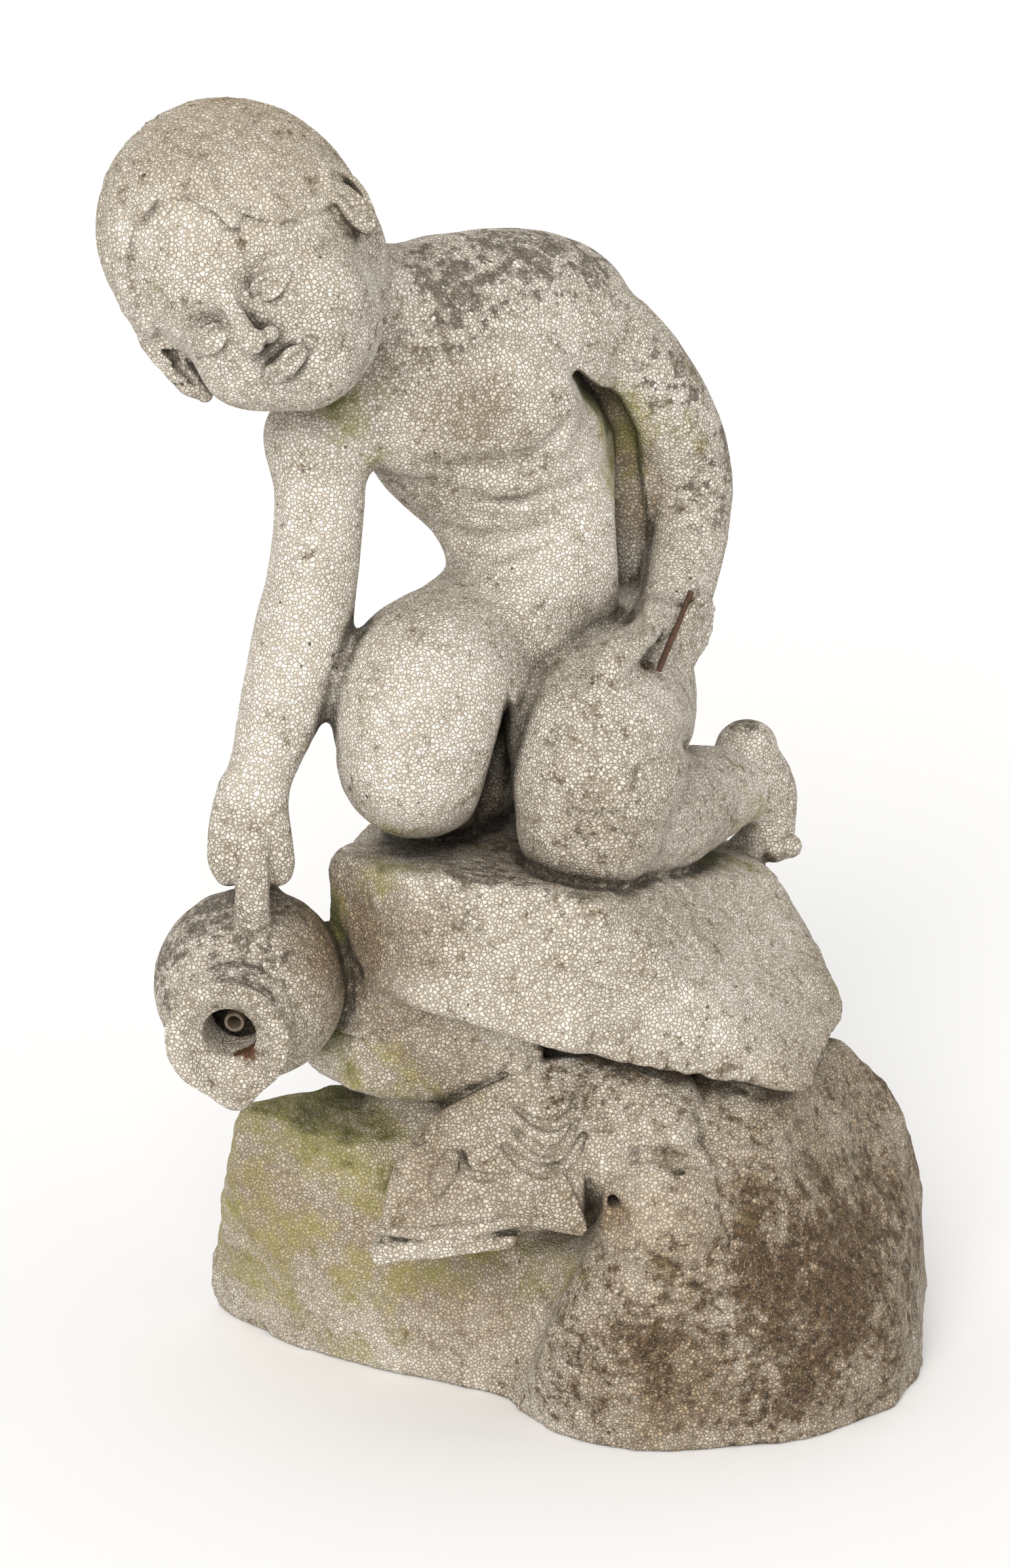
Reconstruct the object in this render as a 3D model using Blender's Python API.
"""Garden fountain figure: a stone putto kneels on a rock and tips a jug over a fish head.

Metres, +Z up, the viewer stands at -Y. The ground is z = 0 and the origin is on it.
The carving is one solid. A water pipe sits in the jug, and an iron dowel in the broken hand.
"""
import math

import bmesh
import bpy
from mathutils import Matrix, Vector

for item in list(bpy.data.objects):
    bpy.data.objects.remove(item, do_unlink=True)

# Driving dimensions
HEIGHT = 0.925
JUG_BELLY_DIAMETER = 0.134
JUG_WALL = 0.016
JUG_MOUTH_BORE = 0.037
JUG_RIM_DIAMETER = 0.086
JUG_LENGTH = 0.168
JUG_LIP = 0.010
PIPE_DIAMETER = 0.0135
PIPE_BORE = 0.0095
PIPE_SEAT_DEPTH = 0.012
PIPE_RECESS = 0.034
DOWEL_DIAMETER = 0.0045
DOWEL_LENGTH = 0.082
FIT_GAP = 0.0003

# Fineness of the carved solid
CARVING_GRAIN = 0.0042
SOFTENING_PASSES = 16
TRIANGLE_SHARE = 0.030
BALL_SEGMENTS = 20
TURNED_SEGMENTS = 28
BELLY_STEPS = 10


# Building blocks


def at(x, y, z):
    """A point of the carving, in thousandths of HEIGHT from the origin."""
    return Vector((x, y, z)) * HEIGHT / 1000


def axes(across, up):
    """A turned frame whose X runs across, whose Z is near up and whose Y is square to both."""
    x = across.normalized()
    y = up.cross(x).normalized()
    return Matrix((x, y, x.cross(y))).transposed()


def egg(solid, centre, radii, turn=None):
    """An ellipsoid, with its radii in thousandths of HEIGHT along the turned frame's axes."""
    size = Matrix.Diagonal([radius * HEIGHT / 1000 for radius in radii])
    shape = (turn or Matrix.Identity(3)) @ size
    bmesh.ops.create_uvsphere(
        solid,
        u_segments=BALL_SEGMENTS,
        v_segments=BALL_SEGMENTS // 2,
        radius=1,
        matrix=Matrix.Translation(centre) @ shape.to_4x4(),
    )


def limb(solid, *stations):
    """A rounded limb through stations, each a place and its radius in thousandths of HEIGHT."""
    for (start, start_radius), (end, end_radius) in zip(stations, stations[1:]):
        ends = []
        for centre, radius in ((start, start_radius), (end, end_radius)):
            ball = bmesh.ops.create_uvsphere(
                solid,
                u_segments=BALL_SEGMENTS,
                v_segments=BALL_SEGMENTS // 2,
                radius=radius * HEIGHT / 1000,
                matrix=Matrix.Translation(centre),
            )
            ends += ball["verts"]
        shrink_wrap(solid, ends)


def block(solid, *corners):
    """A rough boulder: the skin stretched over its corners."""
    shrink_wrap(solid, [solid.verts.new(corner) for corner in corners])


def shrink_wrap(solid, verts):
    """Replaces loose points or balls by the convex skin around them."""
    points = [vert.co.copy() for vert in verts]
    bmesh.ops.delete(solid, geom=verts, context="VERTS")
    fresh = [solid.verts.new(point) for point in points]
    bmesh.ops.convex_hull(solid, input=fresh)
    spare = [vert for vert in fresh if not vert.link_faces]
    bmesh.ops.delete(solid, geom=spare, context="VERTS")


def rings_along(solid, centre, direction, profile):
    """Rings of points about a direction, one for each (distance along it, radius)."""
    frame = Matrix.Translation(centre) @ direction.to_track_quat("Z", "Y").to_matrix().to_4x4()
    rings = []
    for distance, radius in profile:
        ring = []
        for step in range(TURNED_SEGMENTS):
            turn = 2 * math.pi * step / TURNED_SEGMENTS
            place = Vector((radius * math.cos(turn), radius * math.sin(turn), distance))
            ring.append(solid.verts.new(frame @ place))
        rings.append(ring)
    return rings


def join_rings(solid, near, far):
    """A band of faces between two rings."""
    for step in range(TURNED_SEGMENTS):
        after = (step + 1) % TURNED_SEGMENTS
        solid.faces.new((near[step], near[after], far[after], far[step]))


def turned(solid, centre, direction, profile):
    """A closed turned body about a direction, from its back ring to its front ring."""
    rings = rings_along(solid, centre, direction, profile)
    for near, far in zip(rings, rings[1:]):
        join_rings(solid, near, far)
    solid.faces.new(reversed(rings[0]))
    solid.faces.new(rings[-1])


def thousandths(metres):
    """A length in thousandths of HEIGHT, as limb and egg take their radii."""
    return metres * 1000 / HEIGHT


def make_object(name, solid, material):
    """Turns a finished bmesh into a named object with one material."""
    bmesh.ops.recalc_face_normals(solid, faces=solid.faces)
    mesh = bpy.data.meshes.new(name)
    solid.to_mesh(mesh)
    solid.free()
    if material:
        mesh.materials.append(material)
    piece = bpy.data.objects.new(name, mesh)
    bpy.context.scene.collection.objects.link(piece)
    return piece


def make_cutter(name, solid):
    """A guide that only cuts: drawn as wire and never rendered."""
    cutter = make_object(name, solid, None)
    cutter.display_type = "WIRE"
    cutter.hide_render = True
    return cutter


def cut(piece, cutter):
    """Takes a cutter's shape out of a piece."""
    boolean = piece.modifiers.new(cutter.name, "BOOLEAN")
    boolean.operation = "DIFFERENCE"
    boolean.solver = "EXACT"
    boolean.object = cutter


def make_material(name, colour, roughness, metallic):
    material = bpy.data.materials.new(name)
    material.use_nodes = True
    shader = material.node_tree.nodes["Principled BSDF"]
    shader.inputs["Base Color"].default_value = (*colour, 1)
    shader.inputs["Roughness"].default_value = roughness
    shader.inputs["Metallic"].default_value = metallic
    return material


# Joints of the body, which the limbs and the trunk share

PELVIS = at(49, 92, 565)
WAIST = at(31, 54, 636)
CHEST = at(-19, 22, 773)
RIGHT_SHOULDER = at(-138, -59, 750)
LEFT_SHOULDER = at(47, 59, 816)
RIGHT_HIP = at(4, 76, 575)
LEFT_HIP = at(84, 76, 544)
HEAD = at(-173, -111, 881)

# The head looks down and to the boy's left; its frame is left, forward and crown
HEAD_LEFT = Vector((0.711, -0.187, 0.678))
HEAD_CROWN = Vector((-0.664, 0.141, 0.735))
HEAD_AXES = Matrix((HEAD_LEFT, HEAD_LEFT.cross(HEAD_CROWN), HEAD_CROWN)).transposed()

# The jug lies on its side and pours towards the viewer
JUG_CENTRE = at(-191, -114, 344)
JUG_DIRECTION = Vector((-0.118, -0.989, -0.090)).normalized()
JUG_BELLY = JUG_BELLY_DIAMETER / 2
JUG_INSIDE = JUG_BELLY - JUG_WALL
JUG_REACH = JUG_LENGTH - JUG_BELLY
JUG_MOUTH = JUG_CENTRE + JUG_DIRECTION * JUG_REACH


def on_head(left, forward, crown):
    """A point of the head, in thousandths of HEIGHT from its middle."""
    return HEAD + HEAD_AXES @ (Vector((left, forward, crown)) * HEIGHT / 1000)


# Parts of the one carved solid


def carve_trunk(solid):
    trunk = axes(LEFT_SHOULDER - RIGHT_SHOULDER, CHEST - PELVIS)
    egg(solid, CHEST, (106, 76, 97), trunk)
    egg(solid, at(-2, 50, 802), (106, 62, 76), trunk)
    limb(solid, (at(-18, 30, 740), 84), (at(12, 42, 684), 76), (WAIST, 72), (PELVIS, 79))
    egg(solid, at(28, 6, 634), (62, 50, 66))
    egg(solid, at(78, 103, 690), (49, 38, 81))
    egg(solid, at(15, 124, 580), (65, 65, 73))
    egg(solid, at(81, 130, 526), (63, 65, 71))
    egg(solid, at(2, -24, 768), (50, 24, 44))
    egg(solid, at(-62, -50, 760), (46, 24, 41))
    limb(solid, (at(-50, 32, 837), 48), (at(0, 48, 833), 50), (LEFT_SHOULDER, 47))
    limb(solid, (at(-72, -11, 810), 54), (RIGHT_SHOULDER, 38))
    limb(solid, (at(-52, 16, 825), 50), (at(-86, -11, 844), 41), (at(-121, -49, 860), 43))


def carve_head(solid):
    egg(solid, on_head(0, -6, 37), (91, 112, 99), HEAD_AXES)
    egg(solid, on_head(0, 22, -36), (67, 71, 67), HEAD_AXES)
    egg(solid, on_head(0, 59, -79), (27, 24, 24), HEAD_AXES)
    for side in (-1, 1):
        egg(solid, on_head(side * 38, 49, -38), (32, 32, 32), HEAD_AXES)
        egg(solid, on_head(side * 81, 1, 4), (12, 18, 29), HEAD_AXES)
    limb(solid, (at(-243, -106, 846), 17), (at(-229, -106, 818), 16), (at(-213, -106, 800), 9))


def carve_right_arm(solid):
    limb(
        solid,
        (RIGHT_SHOULDER, 37),
        (at(-137, -70, 704), 34),
        (at(-142, -84, 654), 34),
        (at(-151, -95, 609), 36),
        (at(-163, -108, 564), 33),
        (at(-178, -124, 518), 25),
        (at(-184, -130, 498), 25),
        (at(-188, -135, 476), 25),
    )
    limb(solid, (at(-199, -141, 504), 16), (at(-205, -157, 482), 17), (at(-206, -157, 447), 15))
    limb(solid, (at(-174, -141, 495), 14), (at(-166, -151, 468), 16), (at(-167, -151, 441), 14))


def carve_left_arm(solid):
    limb(
        solid,
        (LEFT_SHOULDER, 46),
        (at(87, 81, 783), 44),
        (at(124, 97, 732), 40),
        (at(141, 108, 684), 36),
        (at(142, 86, 644), 31),
        (at(134, 49, 613), 29),
        (at(123, 18, 596), 27),
        (at(112, -8, 583), 22),
    )
    limb(solid, (at(112, -10, 590), 18), (at(100, -50, 588), 14), (at(88, -82, 583), 12), (at(75, -104, 577), 11))
    # The rough root of the lost fingers
    block(
        solid,
        at(124, -22, 607),
        at(150, 0, 613),
        at(158, 16, 612),
        at(152, 26, 572),
        at(136, -8, 560),
        at(116, -40, 574),
        at(110, -38, 600),
        at(126, 20, 560),
    )


def carve_legs(solid):
    limb(
        solid,
        (at(-65, -108, 521), 60),
        (at(-57, -92, 562), 70),
        (at(-25, 0, 563), 69),
        (RIGHT_HIP, 65),
    )
    limb(
        solid,
        (at(-65, -86, 507), 52),
        (at(-42, 22, 470), 50),
        (at(-12, 130, 456), 38),
        (at(-3, 184, 444), 28),
    )
    limb(solid, (at(-3, 189, 446), 26), (at(1, 200, 403), 24))
    limb(
        solid,
        (at(63, -108, 474), 58),
        (at(69, -92, 515), 68),
        (at(77, 0, 528), 68),
        (LEFT_HIP, 63),
    )
    limb(
        solid,
        (at(65, -86, 462), 52),
        (at(111, -22, 448), 48),
        (at(147, 49, 442), 41),
        (at(189, 108, 436), 29),
    )
    limb(solid, (at(193, 114, 459), 21), (at(206, 124, 425), 26), (at(208, 124, 391), 24))


def belly_arc(radius, back_ring, front_ring):
    """(distance, radius) along a round belly, from a ring at its back to a ring in front."""
    first = -math.acos(back_ring / radius)
    last = math.acos(front_ring / radius)
    turns = [first + (last - first) * step / BELLY_STEPS for step in range(BELLY_STEPS + 1)]
    return [(radius * math.sin(turn), radius * math.cos(turn)) for turn in turns]


# Pouring lip, in shares of the rim's radius: how far its root and tip drop and how thick they are
LIP_ROOT_DROP = 0.50
LIP_ROOT_RADIUS = 0.64
LIP_TIP_DROP = 0.95
LIP_TIP_SHIFT = 0.14
LIP_TIP_RADIUS = 0.28

# Handle strap, in shares of the belly's radius: an arch over the belly that the fist holds
STRAP_RADIUS = 0.19
STRAP_ARCH = [
    (0.11, -0.40, 0.89),
    (0.15, -0.47, 1.50),
    (0.15, -0.22, 1.72),
    (0.15, 0.22, 1.52),
    (0.08, 0.50, 0.85),
]


def carve_jug(solid):
    neck = JUG_MOUTH_BORE / 2 + JUG_WALL
    rim = JUG_RIM_DIAMETER / 2
    profile = belly_arc(JUG_BELLY, JUG_WALL, neck)
    profile.append((JUG_REACH - 2 * JUG_LIP, neck))
    profile.append((JUG_REACH - JUG_LIP, rim))
    profile.append((JUG_REACH, rim))
    turned(solid, JUG_CENTRE, JUG_DIRECTION, profile)

    # Pouring lip, pulled down from the rim
    lip_root = JUG_MOUTH - JUG_DIRECTION * 2 * JUG_LIP - Vector((0, 0, LIP_ROOT_DROP * rim))
    lip_tip = JUG_MOUTH - JUG_DIRECTION * JUG_LIP / 2
    lip_tip += Vector((LIP_TIP_SHIFT * rim, 0, -LIP_TIP_DROP * rim))
    limb(
        solid,
        (lip_root, thousandths(LIP_ROOT_RADIUS * rim)),
        (lip_tip, thousandths(LIP_TIP_RADIUS * rim)),
    )

    strap = thousandths(STRAP_RADIUS * JUG_BELLY)
    limb(solid, *[(JUG_CENTRE + Vector(bend) * JUG_BELLY, strap) for bend in STRAP_ARCH])


def carve_rock(solid):
    # Upper slab under the knees
    block(
        solid,
        at(-133, -97, 437), at(-74, -179, 347), at(-129, -86, 352), at(32, -209, 324), at(228, -130, 261),
        at(264, -22, 292), at(211, 65, 379), at(67, -186, 432), at(-71, -176, 450), at(-117, -54, 427),
        at(30, 200, 412), at(168, 196, 372), at(-66, 158, 421), at(-78, 190, 372), at(242, 150, 290),
        at(196, 206, 262), at(60, 226, 330), at(-40, 214, 268),
    )
    # Mossy lump under the slab, behind the jug
    block(
        solid,
        at(-130, -108, 370), at(-158, -54, 263), at(-111, -111, 255), at(-23, -144, 258), at(34, -153, 307),
        at(-26, -153, 360), at(-76, -153, 360), at(-55, 132, 275), at(-116, 60, 240), at(-28, 132, 164),
    )
    # Core between the slab and the base
    block(
        solid,
        at(-108, -8, 229), at(155, -114, 320), at(256, -6, 216), at(-96, -62, 72), at(290, -6, 10),
        at(-92, 150, 210), at(-46, 196, 262), at(196, 192, 262), at(-110, 205, 60), at(-70, 228, -12),
        at(120, 230, 120), at(290, 196, -12),
    )
    # Left lobe of the base
    block(
        solid,
        at(-207, -24, 220), at(-126, 24, 218), at(-213, -24, 157), at(-242, 86, 20), at(-238, 97, -12),
        at(-152, -4, -12), at(-76, -53, -12), at(34, -101, -12), at(-2, -100, 61), at(-63, -79, 52),
        at(-2, -47, 178), at(-137, -58, 202), at(-3, 226, -12), at(-150, 190, -20),
        at(-180, 150, 70), at(-3, 176, 156),
    )
    # Right boulder
    block(
        solid,
        at(258, -4, 276), at(294, 20, 236), at(327, 32, 189), at(342, 43, 97), at(337, 22, 46),
        at(334, -40, -20), at(284, -136, -20), at(214, -188, -20), at(108, -204, -20),
        at(62, -186, -20), at(0, -100, -20), at(303, -137, 65), at(214, -202, 97), at(98, -216, 76),
        at(31, -188, 99), at(119, -220, 169), at(211, -178, 214), at(213, -112, 268), at(126, -134, 275),
        at(290, 236, 57), at(102, 236, 57), at(320, 222, -75), at(37, 222, -33),
    )
    # Saddle between the two lobes
    block(
        solid,
        at(-58, -49, -20), at(72, -168, -21), at(72, -136, 136), at(-56, -28, 94), at(-58, 222, -20),
        at(78, 222, -20), at(-30, 190, 120), at(60, 190, 120),
    )


def carve_fish(solid):
    # Upper jaw and brow, lower lip, gill body, back of the head
    block(
        solid,
        at(-97, -205, 158), at(-92, -195, 174), at(-74, -162, 240), at(-59, -143, 256), at(-38, -143, 259),
        at(23, -143, 298), at(70, -132, 298), at(60, -207, 187), at(-87, -60, 150), at(-27, -43, 228),
        at(60, -32, 166),
    )
    limb(solid, (at(-92, -200, 152), 8), (at(-46, -214, 158), 9), (at(20, -212, 168), 13))
    egg(solid, at(118, -186, 182), (52, 43, 58))
    egg(solid, at(88, -143, 244), (63, 43, 53))


def make_statue(stone):
    """The figure, jug, rock and fish head as one solid, cut flat where it stands."""
    solid = bmesh.new()
    for carve in (carve_trunk, carve_head, carve_right_arm, carve_left_arm, carve_legs):
        carve(solid)
    for carve in (carve_jug, carve_rock, carve_fish):
        carve(solid)
    statue = make_object("putto_statue", solid, stone)

    fuse = statue.modifiers.new("fuse", "REMESH")
    fuse.mode = "VOXEL"
    fuse.voxel_size = CARVING_GRAIN
    soften = statue.modifiers.new("soften", "SMOOTH")
    soften.factor = 0.5
    soften.iterations = SOFTENING_PASSES
    thin_out = statue.modifiers.new("thin_out", "DECIMATE")
    thin_out.ratio = TRIANGLE_SHARE
    thin_out.use_collapse_triangulate = True

    cut(statue, ground_cutter())
    cut(statue, jug_cutter())
    cut(statue, dowel_cutter())
    return statue


def ground_cutter():
    """Everything below the ground, so that the statue stands on a flat underside."""
    solid = bmesh.new()
    reach = HEIGHT * 2
    depth = HEIGHT / 4
    bmesh.ops.create_cube(
        solid,
        size=1,
        matrix=Matrix.Translation((0, 0, -depth / 2)) @ Matrix.Diagonal((reach, reach, depth, 1)),
    )
    return make_cutter("cut_ground", solid)


# Places of the pipe along the jug's axis, from the middle of its belly
PIPE_SEAT = PIPE_DIAMETER / 2 + FIT_GAP
PIPE_START = -math.sqrt(JUG_INSIDE**2 - PIPE_SEAT**2) - PIPE_SEAT_DEPTH
PIPE_END = JUG_REACH - PIPE_RECESS

# The mouth widens from this far inside the rim to this far in front of it, in lip lengths
FUNNEL_INSIDE = 1.4
FUNNEL_OUTSIDE = 2.0
FUNNEL_WIDENING = 1.02 * JUG_LIP


def jug_cutter():
    """The jug's inside: the seat of the pipe, the round belly, the mouth's bore and its funnel."""
    bore = JUG_MOUTH_BORE / 2
    profile = [(PIPE_START - FIT_GAP, PIPE_SEAT)]
    profile += belly_arc(JUG_INSIDE, PIPE_SEAT, bore)
    profile.append((JUG_REACH - FUNNEL_INSIDE * JUG_LIP, bore))
    widest = bore + (FUNNEL_INSIDE + FUNNEL_OUTSIDE) * FUNNEL_WIDENING
    profile.append((JUG_REACH + FUNNEL_OUTSIDE * JUG_LIP, widest))
    solid = bmesh.new()
    turned(solid, JUG_CENTRE, JUG_DIRECTION, profile)
    return make_cutter("cut_jug_inside", solid)


# The dowel lies along the broken fingers, half sunk in the stone
DOWEL_TOP = at(141, 4, 617)
DOWEL_FOOT = at(114, -68, 573)
DOWEL_DIRECTION = (DOWEL_FOOT - DOWEL_TOP).normalized()


def dowel_cutter():
    solid = bmesh.new()
    radius = DOWEL_DIAMETER / 2 + FIT_GAP
    profile = [(-FIT_GAP, radius), (DOWEL_LENGTH + FIT_GAP, radius)]
    turned(solid, DOWEL_TOP, DOWEL_DIRECTION, profile)
    return make_cutter("cut_dowel_groove", solid)


# Pieces let into the stone


def make_pipe(metal):
    """The feed pipe, seated in the jug's back wall, open right through."""
    outer = PIPE_DIAMETER / 2
    inner = PIPE_BORE / 2
    solid = bmesh.new()
    section = [(PIPE_START, outer), (PIPE_END, outer), (PIPE_END, inner), (PIPE_START, inner)]
    rings = rings_along(solid, JUG_CENTRE, JUG_DIRECTION, section)
    for near, far in zip(rings, rings[1:] + rings[:1]):
        join_rings(solid, near, far)
    pipe = make_object("jug_water_pipe", solid, metal)
    pipe.data.shade_smooth()
    pipe.data.set_sharp_from_angle(angle=math.radians(40))
    return pipe


def make_dowel(metal):
    """The iron dowel that pinned the lost fingers."""
    solid = bmesh.new()
    turned(solid, DOWEL_TOP, DOWEL_DIRECTION, [(0, DOWEL_DIAMETER / 2), (DOWEL_LENGTH, DOWEL_DIAMETER / 2)])
    dowel = make_object("hand_dowel", solid, metal)
    dowel.data.shade_smooth()
    dowel.data.set_sharp_from_angle(angle=math.radians(40))
    return dowel


make_statue(make_material("weathered_stone", (0.42, 0.38, 0.30), 0.95, 0))
make_pipe(make_material("old_pipe_metal", (0.16, 0.12, 0.08), 0.7, 0.6))
make_dowel(make_material("rusty_iron", (0.11, 0.05, 0.03), 0.85, 0.3))
